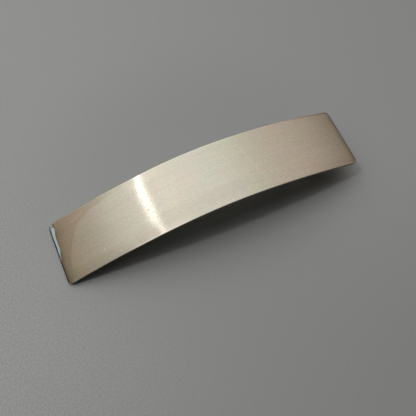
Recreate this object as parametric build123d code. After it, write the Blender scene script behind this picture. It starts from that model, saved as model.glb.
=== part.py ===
# Hair barrette: an arched metal plate with its closed clasp underneath.
# Millimetres. It is built level, with X along the plate, +Z up and the crest of its top at
# the origin, and then laid down as it rests by itself: on the plate's lower edge at the hinge
# end and on the two tips of the catch. A place along the plate is measured on its top, along
# the curve, from the middle, and a depth is measured from the top, square to it.
import os
from math import asin, atan2, copysign, cos, degrees, hypot, sin, sqrt

from build123d import *

# Front plate: a flat blank with round corners, bent along its length in three arcs
plate_length = 99.5
plate_width = 20.0
plate_thickness = 1.0
corner_radius = 1.5
edge_round = 0.3  # both rims, as polishing leaves them
bend_length = 30.0  # the tighter arc in the middle
bend_radius = 84.0
end_radius = 147.0  # the flatter arc on each side of it

# Clasp: a strip that follows the plate, and an arm held between two ears at each end
seat_gap = 0.15  # between the plate's underside and the strip
strip_setback = 12.0  # from each end of the plate to the strip
strip_width = 8.0
strip_thickness = 0.9
strip_corner = 2.0
ear_thickness = 0.8
ear_gap = 0.25  # between each ear and the arm
pin_radius = 0.8
pin_setback = 4.5  # from each end of the strip to a pin
knuckle_radius = 1.4  # the arm's roll round the hinge pin
hinge_drop = 2.4  # from the strip's underside to the hinge pin's centre
hinge_ear_length = 4.0
hinge_tip_radius = 1.3
catch_drop = 4.0  # from the strip's underside to the catch pin's centre
catch_ear_length = 8.0
catch_tip_radius = 2.4
catch_tip_drop = 3.8  # from the catch pin's centre to the middle of the ears' round tips
arm_thickness = 0.9
arm_rise = 1.6  # the arm's middle above the line through its pins
nose_length = 3.2  # what of the arm stands past the catch pin
nose_corner = 2.0

half_bend = bend_length / 2
bend_angle = half_bend / bend_radius
strip_depth = plate_thickness + seat_gap
strip_end = plate_length / 2 - strip_setback
pin_place = strip_end - pin_setback
hinge_depth = strip_depth + strip_thickness + hinge_drop
catch_depth = strip_depth + strip_thickness + catch_drop
arm_width = strip_width - 2 * (ear_thickness + ear_gap)


# Angle of the plate below the horizontal, in radians
def slope_at(place):
    past_bend = max(abs(place) - half_bend, 0)
    return copysign(min(abs(place), half_bend) / bend_radius + past_bend / end_radius, place)


# Point in the middle of the width
def point_at(place, depth=0.0):
    angle = abs(slope_at(place))
    inner = min(angle, bend_angle)
    x = bend_radius * sin(inner) + end_radius * (sin(angle) - sin(inner)) - depth * sin(angle)
    z = bend_radius * (cos(inner) - 1) + end_radius * (cos(angle) - cos(inner)) - depth * cos(angle)
    return Vector(copysign(1, place) * x, 0, z)


# Plane of the side view: its x runs along the plate at that place, and its y points outwards
def side_plane(place, depth):
    angle = slope_at(place)
    return Plane(point_at(place, depth), x_dir=(cos(angle), 0, -sin(angle)), z_dir=(0, -1, 0))


# Edges that run through the thickness at the ends of a sheet along X
def end_corners(sheet, ends):
    faces = sheet.faces().sort_by(Axis.X)
    return [edge for end in ends for edge in faces[end].edges().filter_by(Axis.Y, reverse=True)]


# A sheet of even thickness carried along the three arcs, as far as half_length on each side
def bent_sheet(width, thickness, depth, half_length, corner):
    section = Pos(0, -depth - thickness / 2) * Rectangle(width, thickness)
    half = Part()
    runs = ((0, bend_radius, half_bend), (half_bend, end_radius, half_length - half_bend))
    for start, radius, length in runs:
        angle = slope_at(start)
        across = Plane(point_at(start), x_dir=(0, 1, 0), z_dir=(cos(angle), 0, -sin(angle)))
        axis = Axis(point_at(start, radius), (0, 1, 0))
        half += revolve(across * section, axis, degrees(length / radius))
    sheet = half + mirror(half, Plane.YZ)
    return fillet(end_corners(sheet, (0, -1)), corner)


# The plate, with the rims of its top and its underside rounded
def front_plate():
    plate = bent_sheet(plate_width, plate_thickness, 0, plate_length / 2, corner_radius)
    broad = [face for face in plate.faces() if abs(face.normal_at(face.center()).Z) > 0.5]
    edges = [edge for face in broad for edge in face.edges()]
    return fillet([edge for edge in edges if edges.count(edge) == 1], edge_round)


# A pin across the strip, and on each side an ear that hangs from the strip and holds it
def bracket(place, depth, ear_length, tip_radius, tip_drop=0.0):
    top = depth - strip_depth - strip_thickness / 2
    root = Line((-ear_length / 2, top), (ear_length / 2, top))
    tip = Pos(0, -tip_drop) * Circle(tip_radius)
    ear = extrude(make_hull([root, tip.edge()]), ear_thickness / 2, both=True)
    pin = extrude(Circle(pin_radius), strip_width / 2, both=True)
    side = (strip_width - ear_thickness) / 2
    return side_plane(place, depth) * (pin + Pos(0, 0, side) * ear + Pos(0, 0, -side) * ear)


# The arm: one shallow arc through both pins, rolled round the hinge pin, its nose rounded
def arm():
    hinge, catch = point_at(-pin_place, hinge_depth), point_at(pin_place, catch_depth)
    half_span = (catch - hinge).length / 2
    radius = (half_span**2 + arm_rise**2) / (2 * arm_rise)
    nose_x = half_span + nose_length
    nose = (nose_x, arm_rise - radius + sqrt(radius**2 - nose_x**2))
    middle_line = ThreePointArc((-half_span, 0), (0, arm_rise), nose)
    chord = Plane((hinge + catch) / 2, x_dir=catch - hinge, z_dir=(0, -1, 0))
    blade = extrude(chord * trace(middle_line, arm_thickness), arm_width / 2, both=True)
    blade = fillet(end_corners(blade, (-1,)), nose_corner)
    knuckle = extrude(Circle(knuckle_radius), arm_width / 2, both=True)
    return blade + side_plane(-pin_place, hinge_depth) * knuckle


# The clasp as one solid: strip, hinge bracket, catch bracket and closed arm
def clasp():
    strip = bent_sheet(strip_width, strip_thickness, strip_depth, strip_end, strip_corner)
    hinge = bracket(-pin_place, hinge_depth, hinge_ear_length, hinge_tip_radius)
    catch = bracket(pin_place, catch_depth, catch_ear_length, catch_tip_radius, catch_tip_drop)
    return strip + hinge + catch + arm()


# Angle that lays down on a level surface what rests on two round things: the plate's lower
# rim at the hinge end, and the tips of the catch
def lie_angle():
    rim = point_at(edge_round - plate_length / 2, plate_thickness - edge_round)
    tip = point_at(pin_place, catch_depth + catch_tip_drop)
    reach = tip - rim
    return atan2(-reach.Z, reach.X) + asin((catch_tip_radius - edge_round) / hypot(reach.X, reach.Z))


nodes = {"front_plate": front_plate(), "clasp": clasp()}
laid = {name: Rot(0, -degrees(lie_angle()), 0) * body for name, body in nodes.items()}
box = Compound(list(laid.values())).bounding_box()

os.makedirs("parts", exist_ok=True)
for name, body in laid.items():
    export_step(Pos(-box.center().X, 0, -box.min.Z) * body, f"parts/{name}.step")
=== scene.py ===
from math import copysign, cos, pi, radians, sin

import bmesh
import bpy
from mathutils import Matrix, Vector


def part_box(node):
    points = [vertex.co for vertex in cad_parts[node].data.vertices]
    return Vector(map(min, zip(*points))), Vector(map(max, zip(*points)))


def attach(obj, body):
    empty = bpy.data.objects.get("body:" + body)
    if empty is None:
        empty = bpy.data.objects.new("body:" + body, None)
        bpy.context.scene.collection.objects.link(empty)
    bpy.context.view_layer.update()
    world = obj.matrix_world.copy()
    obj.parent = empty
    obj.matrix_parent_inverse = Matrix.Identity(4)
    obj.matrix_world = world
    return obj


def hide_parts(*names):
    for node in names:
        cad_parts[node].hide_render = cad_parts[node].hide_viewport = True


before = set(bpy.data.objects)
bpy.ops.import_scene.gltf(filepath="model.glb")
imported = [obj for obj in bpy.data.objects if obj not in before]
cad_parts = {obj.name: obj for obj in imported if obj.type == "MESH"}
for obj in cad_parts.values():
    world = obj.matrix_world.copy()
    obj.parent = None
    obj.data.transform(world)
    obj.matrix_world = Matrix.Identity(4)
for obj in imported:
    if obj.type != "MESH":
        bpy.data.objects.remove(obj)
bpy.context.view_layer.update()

mm = 0.001
tolerance = 0.001 * mm


# Selecting, and small steps that every piece uses

def deselectAll():
    if bpy.context.mode != "OBJECT":
        bpy.ops.object.mode_set(mode="OBJECT")
    bpy.ops.object.select_all(action="DESELECT")


def makeActive(piece):
    deselectAll()
    piece.select_set(True)
    bpy.context.view_layer.objects.active = piece


def startEditing(piece, mode):  # nothing is selected at the start
    makeActive(piece)
    bpy.ops.object.mode_set(mode="EDIT")
    bpy.ops.mesh.select_mode(type=mode)
    bpy.ops.mesh.select_all(action="DESELECT")


def stopEditing():
    bpy.ops.object.mode_set(mode="OBJECT")


def selectEdges(piece, wanted):  # wanted takes the places of an edge's two corners
    bpy.ops.mesh.select_all(action="DESELECT")
    form = bmesh.from_edit_mesh(piece.data)
    for edge in form.edges:
        edge.select_set(wanted(*(corner.co for corner in edge.verts)))
    bmesh.update_edit_mesh(piece.data)


def selectCorners(piece, wanted):  # wanted takes a corner's place
    bpy.ops.mesh.select_all(action="DESELECT")
    form = bmesh.from_edit_mesh(piece.data)
    for corner in form.verts:
        corner.select_set(wanted(corner.co))
    form.select_flush_mode()
    bmesh.update_edit_mesh(piece.data)


def near(a, b):
    return abs(a - b) < tolerance


def applyModifier(piece, kind, **settings):
    modifier = piece.modifiers.new(kind.title(), kind)
    for name, value in settings.items():
        setattr(modifier, name, value)
    makeActive(piece)
    bpy.ops.object.modifier_apply(modifier=modifier.name)


def settle(piece):  # its place goes into the mesh, and the object stays at the origin
    makeActive(piece)
    bpy.ops.object.transform_apply(location=True, rotation=True, scale=True)


def spread(piece, axis):
    places = [corner.co[axis] for corner in piece.data.vertices]
    return min(places), max(places)


# The front plate, made flat and then bent, as its blank is

plate = {
    "length": 99.48 * mm,
    "width": 20 * mm,
    "thickness": 1 * mm,
    "cornerRadius": 1.5 * mm,
    "cornerSegments": 10,
    "topRound": 0.14 * mm,  # the rim of the top is crisper than that of the underside
    "underRound": 0.3 * mm,
    "rimSegments": 4,
    "bendLength": 30 * mm,  # tighter arc in the middle
    "bendRadius": 84 * mm,
    "endRadius": 147 * mm,  # flatter arc on each side of it
    "lieAngle": radians(3.849),  # the catch props up the plate's right end
    "cell": 0.8 * mm,  # spacing of the grid that carries the bends
    "fineCell": 0.4 * mm,  # the same near the ends, which are rolled down
    "fineLength": 6 * mm,
    "smoothAngle": radians(40),
    "underShift": 60 * mm,  # of the underside in the map, across
    "fixedDepth": 0.6 * mm,  # polishing leaves what lies deeper as it is
}

# Where polishing took the top down, in millimetres from the middle
polishedDown = (
    # The left end is rolled down, with a hollow along it that mirrors the pale strip of light
    {"along": (-50, -49.55), "across": (-10, 10), "reach": 4.5, "depth": 0.09, "falloff": "SHARP"},
    {"along": (-50, -49.55), "across": (-10, 10), "reach": 2, "depth": 0.06, "falloff": "SHARP"},
    {"along": (-50, -49.55), "across": (-1.2, 5), "reach": 2, "depth": 0.045, "falloff": "SHARP"},
    {"along": (-50, -49.55), "across": (1.5, 5), "reach": 2, "depth": 0.045, "falloff": "SHARP"},
    {"along": (-50, -49.55), "across": (6.8, 8.8), "reach": 2.3, "depth": 0.17, "falloff": "LINEAR"},
    # Both long edges are worn around the bright band, which curls there
    {"along": (-40, -24), "across": (-10, -9.8), "reach": 2.4, "depth": 0.05, "falloff": "SHARP"},
    {"along": (-24.5, -20.5), "across": (-10, -9.8), "reach": 5, "depth": 0.12, "falloff": "SHARP"},
    {"along": (-25, -21), "across": (9.8, 10), "reach": 5, "depth": 0.06, "falloff": "SHARP"},
    # The right end
    {"along": (49.55, 50), "across": (-10, 10), "reach": 2.2, "depth": 0.06, "falloff": "SHARP"},
)


def flatBlank():
    deselectAll()
    bpy.ops.mesh.primitive_cube_add(size=1, location=(0, 0, -plate["thickness"] / 2),
                                    scale=(plate["length"], plate["width"], plate["thickness"]))
    piece = bpy.context.object
    piece.name = "barrettePlate"
    settle(piece)
    startEditing(piece, "EDGE")
    selectEdges(piece, lambda a, b: near(a.x, b.x) and near(a.y, b.y))
    bpy.ops.mesh.bevel(offset=plate["cornerRadius"], segments=plate["cornerSegments"], affect="EDGES")
    for level, rounding in ((0, plate["topRound"]), (-plate["thickness"], plate["underRound"])):
        selectEdges(piece, lambda a, b: near(a.z, level) and near(b.z, level))
        bpy.ops.mesh.bevel(offset=rounding, segments=plate["rimSegments"], affect="EDGES")
    stopEditing()
    return piece


def cutAcross(piece, normal, places):
    startEditing(piece, "EDGE")
    for place in places:
        bpy.ops.mesh.select_all(action="SELECT")
        bpy.ops.mesh.bisect(plane_co=[place * part for part in normal], plane_no=normal)
    stopEditing()


def gridPlaces(length, cell, start=0):
    count = round((length - start) / cell)
    steps = [start + (length - start) * step / count for step in range(count)]
    return sorted({copysign(step, side) for step in steps for side in (-1, 1)})


def cutGrid(piece):
    halfLength, halfWidth = plate["length"] / 2, plate["width"] / 2
    fineStart = halfLength - plate["fineLength"]
    cutAcross(piece, (1, 0, 0), gridPlaces(fineStart, plate["cell"]))
    cutAcross(piece, (1, 0, 0), gridPlaces(halfLength, plate["fineCell"], fineStart))
    cutAcross(piece, (0, 1, 0), gridPlaces(halfWidth, plate["cell"]))


# The flat blank's own plan becomes its UV map, with the sides unfolded around it and the
# underside laid out beside it
def mapBlank(piece):
    layer = piece.data.uv_layers.new(name="blank")
    inner = Vector((plate["length"] / 2, plate["width"] / 2)) - Vector((plate["cornerRadius"],) * 2)
    for face in piece.data.polygons:
        under = face.normal.z < -cos(radians(45))
        for index in face.loop_indices:
            place = piece.data.vertices[piece.data.loops[index].vertex_index].co
            past = [max(abs(place[axis]) - inner[axis], 0) for axis in (0, 1)]
            outwards = Vector(copysign(length, place[axis]) for axis, length in enumerate(past))
            depth = 0 if under else -place.z
            flat = place.xy + outwards.normalized() * depth
            flat.y += plate["underShift"] if under else 0
            layer.data[index].uv = (flat.y / plate["width"] + 0.5, flat.x / plate["length"] + 0.5)


def polishDown(piece, area):
    startEditing(piece, "VERT")
    selectCorners(piece, lambda place: place.z < -plate["fixedDepth"])
    bpy.ops.mesh.hide()
    left, right = (place * mm for place in area["along"])
    front, back = (place * mm for place in area["across"])
    selectCorners(piece, lambda place: left < place.x < right and
                  front - tolerance < place.y < back + tolerance)
    bpy.ops.transform.translate(value=(0, 0, -area["depth"] * mm), use_proportional_edit=True,
                                proportional_edit_falloff=area["falloff"],
                                proportional_size=area["reach"] * mm)
    bpy.ops.mesh.reveal()
    stopEditing()


# One arc of the plate: the stretch from low to high bends down about the line across at start
def bendSheet(piece, start, low, high, radius):
    bpy.ops.object.empty_add(location=(start, 0, 0), rotation=(pi / 2, 0, 0))
    handle = bpy.context.object
    first, last = spread(piece, 0)
    limits = [(place - first) / (last - first) for place in (low, high)]
    applyModifier(piece, "SIMPLE_DEFORM", deform_method="BEND", deform_axis="Z", origin=handle,
                  limits=limits, angle=-(high - low) / radius)
    bpy.data.objects.remove(handle)


def buildPlate():
    piece = flatBlank()
    cutGrid(piece)
    mapBlank(piece)
    for area in polishedDown:
        polishDown(piece, area)
    halfLength, halfBend = plate["length"] / 2, plate["bendLength"] / 2
    bendSheet(piece, halfBend, halfBend, halfLength, plate["endRadius"])
    bendSheet(piece, -halfBend, -halfLength, -halfBend, plate["endRadius"])
    bendSheet(piece, 0, -halfBend, halfBend, plate["bendRadius"])
    piece.rotation_euler.y = -plate["lieAngle"]
    settle(piece)
    cadLow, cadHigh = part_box("front_plate")
    piece.location.x = (cadLow[0] + cadHigh[0] - sum(spread(piece, 0))) / 2
    piece.location.z = cadHigh[2] - spread(piece, 2)[1]
    settle(piece)
    bpy.ops.object.shade_smooth_by_angle(angle=plate["smoothAngle"])
    applyModifier(piece, "WEIGHTED_NORMAL", keep_sharp=True)
    print("plate built,", len(piece.data.polygons), "faces")
    return piece


# The clasp, from the solid's own mesh, with its edges broken as tumbling leaves them

clasp = {
    "flatAngle": radians(0.3),  # triangles as level as this with each other are joined first
    "edgeBreak": 0.09 * mm,
    "edgeSegments": 2,
    "sharpAngle": radians(35),
}


def buildClasp():
    piece = bpy.data.objects.new("barretteClasp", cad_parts["clasp"].data.copy())
    bpy.context.scene.collection.objects.link(piece)
    startEditing(piece, "VERT")
    bpy.ops.mesh.select_all(action="SELECT")
    bpy.ops.mesh.remove_doubles(threshold=tolerance)
    bpy.ops.mesh.dissolve_limited(angle_limit=clasp["flatAngle"])
    stopEditing()
    bpy.ops.object.shade_smooth_by_angle(angle=clasp["sharpAngle"])
    applyModifier(piece, "BEVEL", width=clasp["edgeBreak"], segments=clasp["edgeSegments"],
                  limit_method="ANGLE", angle_limit=clasp["sharpAngle"], harden_normals=True)
    print("clasp built,", len(piece.data.polygons), "faces")
    return piece


# Small helpers for materials. A pair called between, along or across says where something
# begins and where it is full.

def feed(tree, socket, value):  # a link where the value is another node's output
    if isinstance(value, bpy.types.NodeSocket):
        tree.links.new(value, socket)
    elif socket.type == "RGBA" and len(value) == 3:
        socket.default_value = (*value, 1)
    else:
        socket.default_value = value


def addNode(tree, kind, inputs=None, **settings):
    node = tree.nodes.new(kind)
    for name, value in settings.items():
        setattr(node, name, value)
    for name, value in (inputs or {}).items():
        feed(tree, node.inputs[name], value)
    return node


def calculate(tree, operation, *values):
    return addNode(tree, "ShaderNodeMath", dict(enumerate(values)), operation=operation).outputs[0]


def measure(tree, operation, *vectors):  # a number from one vector or two
    inputs = dict(enumerate(vectors))
    return addNode(tree, "ShaderNodeVectorMath", inputs, operation=operation).outputs["Value"]


def fade(tree, value, start, end, low=0, high=1):  # low at start, high at end, eased between them
    inputs = {"Value": value, "From Min": start, "From Max": end, "To Min": low, "To Max": high}
    return addNode(tree, "ShaderNodeMapRange", inputs, interpolation_type="SMOOTHSTEP").outputs["Result"]


def product(tree, *values):
    result = values[0]
    for value in values[1:]:
        result = calculate(tree, "MULTIPLY", result, value)
    return result


def blended(tree, first, second, share):  # share is that of the second
    return calculate(tree, "ADD", product(tree, first, 1 - share), product(tree, second, share))


def scaled(tree, place, scale, location=(0, 0, 0), turn=0):
    inputs = {"Vector": place, "Scale": scale, "Location": location, "Rotation": (0, 0, turn)}
    return addNode(tree, "ShaderNodeMapping", inputs).outputs["Vector"]


noiseRange = (0.3, 0.7)  # nearly all of a noise lies between these


def noise(tree, place, scale, detail, roughness=0.5, distortion=0):
    inputs = {"Vector": scaled(tree, place, scale), "Scale": 1, "Detail": detail,
              "Roughness": roughness, "Distortion": distortion}
    return addNode(tree, "ShaderNodeTexNoise", inputs).outputs["Fac"]


def brightened(tree, color, strength):
    inputs = {0: color, "Scale": strength}
    return addNode(tree, "ShaderNodeVectorMath", inputs, operation="SCALE").outputs["Vector"]


def tinted(tree, color, mask, tint):  # color times tint, where the mask is 1
    inputs = {"Factor": mask, "A": color, "B": tint}
    node = tree.nodes.new("ShaderNodeMix")
    node.data_type, node.blend_type = "RGBA", "MULTIPLY"
    for socket in node.inputs:
        if socket.enabled and socket.name in inputs:
            feed(tree, socket, inputs[socket.name])
    return next(socket for socket in node.outputs if socket.enabled)


def newMaterial(name):
    material = bpy.data.materials.new(name)
    material.use_nodes = True
    material.node_tree.nodes.clear()
    return material


def finishMaterial(material, **inputs):  # the shader with these inputs, and the output
    tree = material.node_tree
    named = {name.replace("_", " "): value for name, value in inputs.items()}
    shader = addNode(tree, "ShaderNodeBsdfPrincipled", named)
    tree.links.new(shader.outputs[0], addNode(tree, "ShaderNodeOutputMaterial").inputs["Surface"])
    return material


# Brush grain that the plate and the clasp share. Its place is in millimetres, with Y along the
# brush lines, and a scale is in waves per millimetre.

brushGrain = {
    "wide": {"scale": (0.8, 0.045, 0.8), "detail": 2},
    "fine": {"scale": (2.6, 0.11, 2.6), "detail": 3, "roughness": 0.65},
    "specks": {"scale": (4.2, 0.9, 4.2), "detail": 1},
    "clouds": {"scale": (0.12, 0.12, 0.12), "detail": 3, "distortion": 0.8},
    "fineShare": 0.6,  # of the lines
    "speckShare": 0.5,  # of the height
}


def brushGrainGroup():
    tree = bpy.data.node_groups.new("brushGrain", "ShaderNodeTree")
    tree.interface.new_socket("Place", in_out="INPUT", socket_type="NodeSocketVector")
    for name in ("Lines", "Specks", "Clouds", "Height"):
        tree.interface.new_socket(name, in_out="OUTPUT", socket_type="NodeSocketFloat")
    place = addNode(tree, "NodeGroupInput").outputs["Place"]
    wide = noise(tree, place, **brushGrain["wide"])
    fine = noise(tree, place, **brushGrain["fine"])
    specks = noise(tree, place, **brushGrain["specks"])
    clouds = noise(tree, place, **brushGrain["clouds"])
    lines = blended(tree, wide, fine, brushGrain["fineShare"])
    height = blended(tree, fine, specks, brushGrain["speckShare"])
    addNode(tree, "NodeGroupOutput", {"Lines": lines, "Specks": specks, "Clouds": clouds, "Height": height})
    return tree


def addGrain(tree, place):
    node = tree.nodes.new("ShaderNodeGroup")
    node.node_tree = bpy.data.node_groups["brushGrain"]
    tree.links.new(place, node.inputs["Place"])
    return node.outputs


def grainTone(tree, finish, grain):  # the finish's tone, a little lighter and darker with the grain
    strength = 1
    for name, contrast in finish["contrast"].items():
        shift = fade(tree, grain[name], *noiseRange, 1 - contrast / 2, 1 + contrast / 2)
        strength = product(tree, strength, shift)
    return brightened(tree, finish["tone"], strength)


def grainClouds(tree, color, finish, grain):  # soft patches of other tints
    for cloud in finish["clouds"]:
        color = tinted(tree, color, fade(tree, grain["Clouds"], *cloud["between"]), cloud["tint"])
    return color


def grainRoughness(tree, finish, grain):
    change = product(tree, grain["Lines"], finish["roughnessSpread"])
    return calculate(tree, "ADD", finish["roughness"] - finish["roughnessSpread"] / 2, change)


def grainBump(tree, finish, grain):
    inputs = {"Height": grain["Height"], "Distance": finish["grainDepth"]}
    return addNode(tree, "ShaderNodeBump", inputs).outputs["Normal"]


# Finish of the plate. Its places are in millimetres from the blank's middle, and along is
# negative towards the left end.

brushed = {
    "tone": (0.655, 0.625, 0.523),
    "roughness": 0.19,
    "roughnessSpread": 0.03,
    "anisotropy": 0.95,
    "contrast": {"Lines": 0.09, "Specks": 0.10},
    "grainDepth": 0.006 * mm,
    "clouds": (
        {"between": (0.42, 0.62), "tint": (1.02, 0.98, 0.985)},  # pink
        {"between": (0.52, 0.36), "tint": (0.985, 1.003, 0.98)},  # green
    ),
    "wornLines": {"along": (-18, -34), "between": (0.38, 0.62), "contrast": 0.015},
    "polishedEnd": (-46.55, -48.15),  # along
    "polishedRoughness": 0.3,  # share of the roughness that full polish leaves
    "nearRoughness": 1.08,  # times the roughness at the near edge
    "underRoughness": 0.2,  # added on the underside
}

# The hand-polished left corner and far edge. It ends on a curve that keeps the product of its
# distances from the left end and from the far edge.
polishedCorner = {
    "tint": (0.87, 0.81, 0.79),
    "lineTint": (0.945, 0.935, 0.935),  # on the curve that it ends on
    "leftEnd": -48.1,
    "leftLean": 0.13,  # of the line that leftEnd stands for, for each millimetre across
    "farEdge": 10.2,
    "curve": (39, 31),  # the product, where the polish begins and is full
    "wobble": 18,  # of the product, with the clouds
    "along": (-20, -33),
    "lineAcross": (6, 3),
    "polish": 0.4,
}

# Across, the sides unfold to 11 mm, and the underside lies between 50 and 70 mm. A tint holds
# inside all the pairs of its row.
upperSide = (31, 30)
underside = (30, 31)
farLine = ((9.35, 9.7), upperSide)
nearLine = ((-9.86, -10),)

edgeTints = (
    # The near edge, darker towards both ends, and the dark line along it, a painted shade where the rim
    # faces the shadowed floor
    {"tint": (0.86, 0.85, 0.84), "across": ((-5.5, -9.5),), "along": (-19, -30)},
    {"tint": (0.888, 0.88, 0.872), "across": ((-5.5, -9.5),), "along": (25, 42)},
    {"tint": (0.70, 0.69, 0.675), "across": nearLine, "along": (-22, -32)},
    {"tint": (0.70, 0.69, 0.675), "across": nearLine, "along": (-8, 8)},
    # A painted highlight along the far edge, stronger in the polished corner, and painted shade on it at
    # the right end
    {"tint": (1.12, 1.12, 1.12), "across": farLine, "along": (36, 28)},
    {"tint": (1.12, 1.12, 1.12), "across": farLine, "along": (-34, -40)},
    {"tint": (0.78, 0.76, 0.72), "across": farLine, "along": (31, 40)},
    # Darker and browner in the far left corner
    {"tint": (0.72, 0.63, 0.54), "across": ((8.2, 9.2), upperSide), "along": (-47.3, -48.5)},
    # The sides and the cut ends, darkened as painted shade, deepest at the left end where it stands in for
    # a contact shadow
    {"tint": (0.45, 0.44, 0.42), "across": ((-10.02, -10.12),)},
    {"tint": (0.45, 0.44, 0.42), "across": ((10.02, 10.12), upperSide)},
    {"tint": (0.20, 0.195, 0.175), "along": (-49.1, -49.4)},
    {"tint": (0.55, 0.54, 0.52), "along": (49.2, 49.6)},
    # The underside is left as rolled, duller than the top
    {"tint": (0.54, 0.49, 0.44), "across": (underside,)},
)

# The underside is stained where the clasp's strip is soldered on
solderStain = {
    "tint": (0.92, 0.80, 0.62),
    "across": (7.5, 4.5),  # from the middle, either way
    "along": (42, 38),  # from the middle, either way
    "wobble": 4,  # across, with the clouds
}

# Marks of wear on the top, and a few painted highlights: place along and across from the middle, size in
# mm, turn, and tint
wearAndPaintedHighlights = (
    {"at": (-18.6, -1.4), "size": (0.42, 0.34), "turn": 0, "tint": (0.72, 0.73, 0.75)},
    {"at": (-35.1, -5.8), "size": (0.14, 0.7), "turn": radians(24), "tint": (1.25, 1.25, 1.22)},
    {"at": (-46.8, 6.2), "size": (1.7, 2.2), "turn": 0, "tint": (0.95, 0.94, 0.96)},
    {"at": (-47.5, 8.8), "size": (0.9, 1.7), "turn": 0, "tint": (1.2, 1.19, 1.21)},
    {"at": (-39.5, 7.6), "size": (3.2, 0.45), "turn": radians(-12), "tint": (1.09, 1.09, 1.08)},
    # a painted reflection of a faint second light
    {"at": (15.2, 0.0), "size": (0.5, 7.5), "turn": radians(-15), "tint": (1.045, 1.045, 1.04)},
    {"at": (8.0, -4.5), "size": (1.6, 5.0), "turn": radians(-14), "tint": (0.985, 0.97, 0.985)},
    {"at": (-6.0, -6.4), "size": (22.0, 2.9), "turn": 0, "tint": (0.945, 0.94, 0.945)},
    # a painted highlight where the bright band meets the far edge
    {"at": (-17.5, 8.8), "size": (5.5, 2.6), "turn": 0, "tint": (1.07, 1.07, 1.07)},
    # a painted highlight along the near rim
    {"at": (-18.0, -9.9), "size": (10.0, 0.5), "turn": 0, "tint": (1.22, 1.22, 1.22)},
)
markEdge = (1.3, 0.5)  # a mark begins at the first share of its size and is full at the second


def blankPlace(tree):  # millimetres from the blank's middle: X across, Y along
    chart = addNode(tree, "ShaderNodeUVMap", uv_map="blank").outputs["UV"]
    size = (plate["width"] / mm, plate["length"] / mm, 1)
    return scaled(tree, chart, size, location=(-size[0] / 2, -size[1] / 2, 0))


def wornStreaks(tree, color, along, grain):  # stronger streaks at the worn left end
    worn = brushed["wornLines"]
    streaks = fade(tree, grain["Lines"], *worn["between"], -1, 1)
    streaks = product(tree, streaks, fade(tree, along, *worn["along"], 0, worn["contrast"]))
    return brightened(tree, color, calculate(tree, "ADD", streaks, 1))


def wobbly(tree, value, clouds, amount):
    return calculate(tree, "ADD", value, product(tree, calculate(tree, "SUBTRACT", clouds, 0.5), amount))


def cornerMasks(tree, across, along, clouds):  # the polished corner, and the line that it ends on
    fromEnd = calculate(tree, "SUBTRACT", along, polishedCorner["leftEnd"])
    fromEnd = calculate(tree, "SUBTRACT", fromEnd, product(tree, across, polishedCorner["leftLean"]))
    fromFar = calculate(tree, "SUBTRACT", polishedCorner["farEdge"], across)
    reach = wobbly(tree, product(tree, fromEnd, fromFar), clouds, polishedCorner["wobble"])
    corner = fade(tree, reach, *polishedCorner["curve"])
    line = product(tree, 4, corner, calculate(tree, "SUBTRACT", 1, corner))  # 1 halfway
    line = product(tree, line, fade(tree, across, *polishedCorner["lineAcross"]))
    corner = product(tree, corner, fade(tree, along, *polishedCorner["along"]))
    return product(tree, corner, fade(tree, across, *upperSide)), line


def edgeMask(tree, across, along, edge):
    spans = [(across, span) for span in edge.get("across", ())]
    if "along" in edge:
        spans.append((along, edge["along"]))
    return product(tree, *(fade(tree, place, *span) for place, span in spans))


def markMask(tree, place, mark):  # 1 inside an ellipse, 0 a little outside it
    (along, across), (length, width) = mark["at"], mark["size"]
    inputs = {"Vector": place, "Location": (across, along, 0), "Rotation": (0, 0, mark["turn"]),
              "Scale": (width, length, 1)}
    centred = addNode(tree, "ShaderNodeMapping", inputs, vector_type="TEXTURE").outputs["Vector"]
    return fade(tree, measure(tree, "LENGTH", centred), *markEdge)


def stainMask(tree, across, along, clouds):
    fromStrip = calculate(tree, "SUBTRACT", across, plate["underShift"] / mm)
    fromStrip = wobbly(tree, calculate(tree, "ABSOLUTE", fromStrip), clouds, solderStain["wobble"])
    fromMiddle = calculate(tree, "ABSOLUTE", along)
    return product(tree, fade(tree, fromStrip, *solderStain["across"]),
                   fade(tree, fromMiddle, *solderStain["along"]), fade(tree, across, *underside))


def plateRoughness(tree, across, along, grain, corner):
    end = fade(tree, along, *brushed["polishedEnd"])
    polish = calculate(tree, "MAXIMUM", product(tree, corner, polishedCorner["polish"]), end)
    rough = grainRoughness(tree, brushed, grain)
    rough = product(tree, rough, fade(tree, polish, 0, 1, 1, brushed["polishedRoughness"]))
    nearEdge = -plate["width"] / mm / 2
    rough = product(tree, rough, fade(tree, across, 0, nearEdge, 1, brushed["nearRoughness"]))
    return calculate(tree, "ADD", rough, fade(tree, across, *underside, 0, brushed["underRoughness"]))


def brushedMaterial():
    material = newMaterial("brushedPlate")
    tree = material.node_tree
    place = blankPlace(tree)
    parts = addNode(tree, "ShaderNodeSeparateXYZ", {0: place}).outputs
    across, along = parts["X"], parts["Y"]
    grain = addGrain(tree, place)
    corner, cornerLine = cornerMasks(tree, across, along, grain["Clouds"])

    color = grainTone(tree, brushed, grain)
    color = wornStreaks(tree, color, along, grain)
    color = grainClouds(tree, color, brushed, grain)
    color = tinted(tree, color, corner, polishedCorner["tint"])
    color = tinted(tree, color, cornerLine, polishedCorner["lineTint"])
    for edge in edgeTints:
        color = tinted(tree, color, edgeMask(tree, across, along, edge), edge["tint"])
    for mark in wearAndPaintedHighlights:
        color = tinted(tree, color, markMask(tree, place, mark), mark["tint"])
    color = tinted(tree, color, stainMask(tree, across, along, grain["Clouds"]), solderStain["tint"])

    tangent = addNode(tree, "ShaderNodeTangent", direction_type="UV_MAP", uv_map="blank")
    return finishMaterial(material, Base_Color=color, Metallic=1.0,
                          Roughness=plateRoughness(tree, across, along, grain, corner),
                          Anisotropic=brushed["anisotropy"], Normal=grainBump(tree, brushed, grain),
                          Tangent=tangent.outputs[0])


# The clasp's spring steel, drawn along its length

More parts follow.
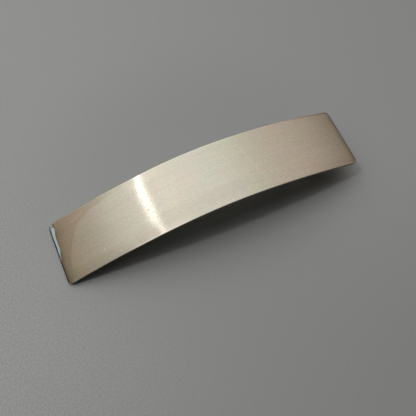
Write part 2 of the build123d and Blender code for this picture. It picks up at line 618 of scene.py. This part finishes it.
claspSteel = {
    "tone": (0.56, 0.555, 0.54),
    "roughness": 0.27,
    "roughnessSpread": 0.12,
    "contrast": {"Lines": 0.22, "Specks": 0.10},
    "grainDepth": 0.012 * mm,
    "clouds": (
        {"between": (0.5, 0.68), "tint": (1.03, 0.97, 0.90)},  # straw-coloured, as heat leaves on steel
    ),
}


def claspMaterial():
    material = newMaterial("claspSteel")
    tree = material.node_tree
    place = addNode(tree, "ShaderNodeTexCoord").outputs["Object"]
    grain = addGrain(tree, scaled(tree, place, (1 / mm, 1 / mm, 1 / mm), turn=pi / 2))
    color = grainClouds(tree, grainTone(tree, claspSteel, grain), claspSteel, grain)
    return finishMaterial(material, Base_Color=color, Metallic=1.0,
                          Roughness=grainRoughness(tree, claspSteel, grain),
                          Normal=grainBump(tree, claspSteel, grain))


# The photograph's viewpoint, from a fit to the plate's outline

view = {
    "target": (-2.553 * mm, -6.790 * mm, 10 * mm),
    "distance": 165.12 * mm,
    "azimuth": radians(-31.07),
    "elevation": radians(67.30),
    "roll": radians(7.48),
    "lens": 48.55,  # in millimetres, as the sensor's width
    "sensor": 36,
    "clipStart": 10 * mm,
}


def buildCamera():
    data = bpy.data.cameras.new("camera")
    data.lens, data.sensor_width, data.clip_start = view["lens"], view["sensor"], view["clipStart"]
    camera = bpy.data.objects.new("camera", data)
    bpy.context.scene.collection.objects.link(camera)
    turn, rise = view["azimuth"], view["elevation"]
    away = Vector((sin(turn) * cos(rise), -cos(turn) * cos(rise), sin(rise)))
    right = Vector((cos(turn), sin(turn), 0))
    facing = Matrix((right, away.cross(right), away)).transposed() @ Matrix.Rotation(view["roll"], 3, "Z")
    place = Vector(view["target"]) + away * view["distance"]
    camera.matrix_world = Matrix.Translation(place) @ facing.to_4x4()
    bpy.context.scene.camera = camera


# Floor, with its distances in metres

floorPaper = {
    "size": 3,
    "tone": (0.645, 0.672, 0.669),
    "roughness": 0.7,
    "shades": (  # painted shade: the room's light falls off towards the right, and a soft painted shadow lies towards the front
        {"toward": (0.92, -0.40, 0), "between": (-0.12, 0.12), "loss": 0.20},
        {"toward": (0.11, -0.99, 0), "between": (0.01, 0.08), "loss": 0.17},
    ),
    "paintedShadeRing": {"between": (0.025, 0.07), "gain": 0.09},  # painted shade: the floor is darker close around the barrette and gains brightness outwards
    "grain": {"scale": (1.9 / mm,) * 3, "detail": 2, "roughness": 0.6},
    # The grain shows more towards the left
    "grainContrast": {"toward": (-0.97, -0.24, 0), "between": (0.015, 0.08), "range": (0.06, 0.24)},
}


def floorMaterial():
    material = newMaterial("floorPaper")
    tree = material.node_tree
    place = addNode(tree, "ShaderNodeTexCoord").outputs["Object"]
    strength = 1
    for shade in floorPaper["shades"]:
        reach = measure(tree, "DOT_PRODUCT", place, shade["toward"])
        strength = product(tree, strength, fade(tree, reach, *shade["between"], 1, 1 - shade["loss"]))
    paintedShadeRing, contrast = floorPaper["paintedShadeRing"], floorPaper["grainContrast"]
    reach = measure(tree, "LENGTH", place)
    strength = product(tree, strength, fade(tree, reach, *paintedShadeRing["between"], 1, 1 + paintedShadeRing["gain"]))
    reach = measure(tree, "DOT_PRODUCT", place, contrast["toward"])
    speckle = fade(tree, noise(tree, place, **floorPaper["grain"]), *noiseRange, -0.5, 0.5)
    speckle = product(tree, speckle, fade(tree, reach, *contrast["between"], *contrast["range"]))
    strength = product(tree, strength, calculate(tree, "ADD", speckle, 1))
    tone = brightened(tree, floorPaper["tone"], strength)
    return finishMaterial(material, Base_Color=tone, Roughness=floorPaper["roughness"])


def buildFloor():
    deselectAll()
    bpy.ops.mesh.primitive_plane_add(size=floorPaper["size"])
    floor = bpy.context.object
    floor.name = "floor"
    floor.data.materials.append(floorMaterial())


# The sky, soft and brightest overhead

dome = {
    "arc": (  # degrees from overhead, towards the plate's left where negative, and colour
        (-90, (0.03, 0.028, 0.025)), (-76, (0.10, 0.098, 0.08)), (-67, (0.22, 0.21, 0.17)),
        (-56, (0.43, 0.373, 0.31)), (-45, (0.59, 0.547, 0.503)), (-36, (0.825, 0.812, 0.78)),
        (-26, (1.0, 0.973, 0.96)), (-16, (1.147, 1.095, 1.085)), (-8, (1.065, 1.05, 1.035)),
        (5, (1.0, 1.0, 1.0)), (19, (0.91, 0.905, 0.88)), (27, (0.82, 0.815, 0.765)),
        (34, (0.735, 0.71, 0.655)), (39, (0.70, 0.635, 0.60)), (48, (0.63, 0.555, 0.52)),
        (58, (0.505, 0.445, 0.405)), (66, (0.35, 0.295, 0.255)), (76, (0.15, 0.13, 0.11)),
        (90, (0.02, 0.018, 0.016)),
    ),
    # The share of this that lights the floor, and the share that the metal mirrors, towards the
    # front and the back. A pair called between is of the direction's Y, and for the horizon of its
    # Z. The share from the front that lights the floor changes over litBetween, also of Y.
    "front": {"between": (-0.15, 0.28), "lit": (0, 0.12), "litBetween": (-0.4, 0), "mirrored": 0.6},
    "back": {"between": (0.9, 0.68), "lit": 0.03, "mirrored": 0.35},
    "horizon": {"between": (0.15, 0.55)},  # the floor gets no light from lower down
    "backdrop": (0.30, 0.30, 0.295),
}


def softDome():
    world = bpy.data.worlds.new("softDome")
    bpy.context.scene.world = world
    world.use_nodes = True
    tree = world.node_tree
    tree.nodes.clear()
    place = addNode(tree, "ShaderNodeTexCoord").outputs["Generated"]
    parts = addNode(tree, "ShaderNodeSeparateXYZ", {0: place}).outputs
    lean = calculate(tree, "ARCTAN2", parts["X"], parts["Z"])
    share = calculate(tree, "ADD", calculate(tree, "DIVIDE", lean, pi), 0.5)
    ramp = addNode(tree, "ShaderNodeValToRGB", {0: share})
    stops = ramp.color_ramp.elements
    stops.remove(stops[1])
    for index, (angle, tone) in enumerate(dome["arc"]):
        position = angle / 180 + 0.5
        stop = stops.new(position) if index else stops[0]
        stop.position, stop.color = position, (*tone, 1)

    rays = addNode(tree, "ShaderNodeLightPath").outputs
    front, back, horizon = dome["front"], dome["back"], dome["horizon"]
    frontLight = fade(tree, parts["Y"], *front["litBetween"], *front["lit"])
    frontShare = fade(tree, rays["Is Glossy Ray"], 0, 1, frontLight, front["mirrored"])
    backShare = fade(tree, rays["Is Glossy Ray"], 0, 1, back["lit"], back["mirrored"])
    lowLight = fade(tree, parts["Z"], *horizon["between"])
    lowShare = fade(tree, rays["Is Glossy Ray"], 0, 1, lowLight, 1)
    strength = product(tree, fade(tree, parts["Y"], *front["between"], frontShare, 1),
                       fade(tree, parts["Y"], *back["between"], backShare, 1), lowShare)
    light = addNode(tree, "ShaderNodeBackground", {"Color": ramp.outputs[0], "Strength": strength})
    backdrop = addNode(tree, "ShaderNodeBackground", {"Color": dome["backdrop"]})
    shown = addNode(tree, "ShaderNodeMixShader", {0: rays["Is Camera Ray"], 1: light.outputs[0],
                                                  2: backdrop.outputs[0]})
    addNode(tree, "ShaderNodeOutputWorld", {"Surface": shown.outputs[0]})


# Lamps: the key throws the shadow, and the metal mirrors the other two

lamps = {
    "key": {"toward": (-0.412, 0.135, 0.903), "distance": 600 * mm, "size": (26 * mm, 26 * mm),
            "power": 0.25, "color": (1, 0.99, 0.97), "mirrored": False},
    "streak": {"toward": (-0.3888, 0.41, 0.803), "distance": 600 * mm, "size": (12 * mm, 30 * mm),
               "power": 0.0275, "color": (1, 0.99, 0.97), "mirrored": True},
    "window": {"toward": (-0.892, 0.3835, 0.2395), "distance": 545 * mm, "size": (63 * mm, 60 * mm),
               "power": 0.0105, "color": (0.50, 0.79, 1.0), "mirrored": True},
}


def buildLamp(name, lamp):
    data = bpy.data.lights.new(name, "AREA")
    data.shape, data.energy, data.color = "RECTANGLE", lamp["power"], lamp["color"]
    data.size, data.size_y = lamp["size"]
    light = bpy.data.objects.new(name, data)
    bpy.context.scene.collection.objects.link(light)
    away = Vector(lamp["toward"]).normalized()
    light.location = away * lamp["distance"]
    light.rotation_euler = away.to_track_quat("Z", "Y").to_euler()
    light.visible_glossy = lamp["mirrored"]


brushGrainGroup()
platePiece = buildPlate()
platePiece.data.materials.clear()
platePiece.data.materials.append(brushedMaterial())
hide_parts("front_plate")
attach(platePiece, "root")
print("plate finished")

claspPiece = buildClasp()
claspPiece.data.materials.clear()
claspPiece.data.materials.append(claspMaterial())
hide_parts("clasp")
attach(claspPiece, "root")
print("clasp finished")

buildFloor()
softDome()
for name, lamp in lamps.items():
    buildLamp(name, lamp)
buildCamera()
bpy.context.scene.view_settings.view_transform = "Standard"
print("floor, lights and camera placed")
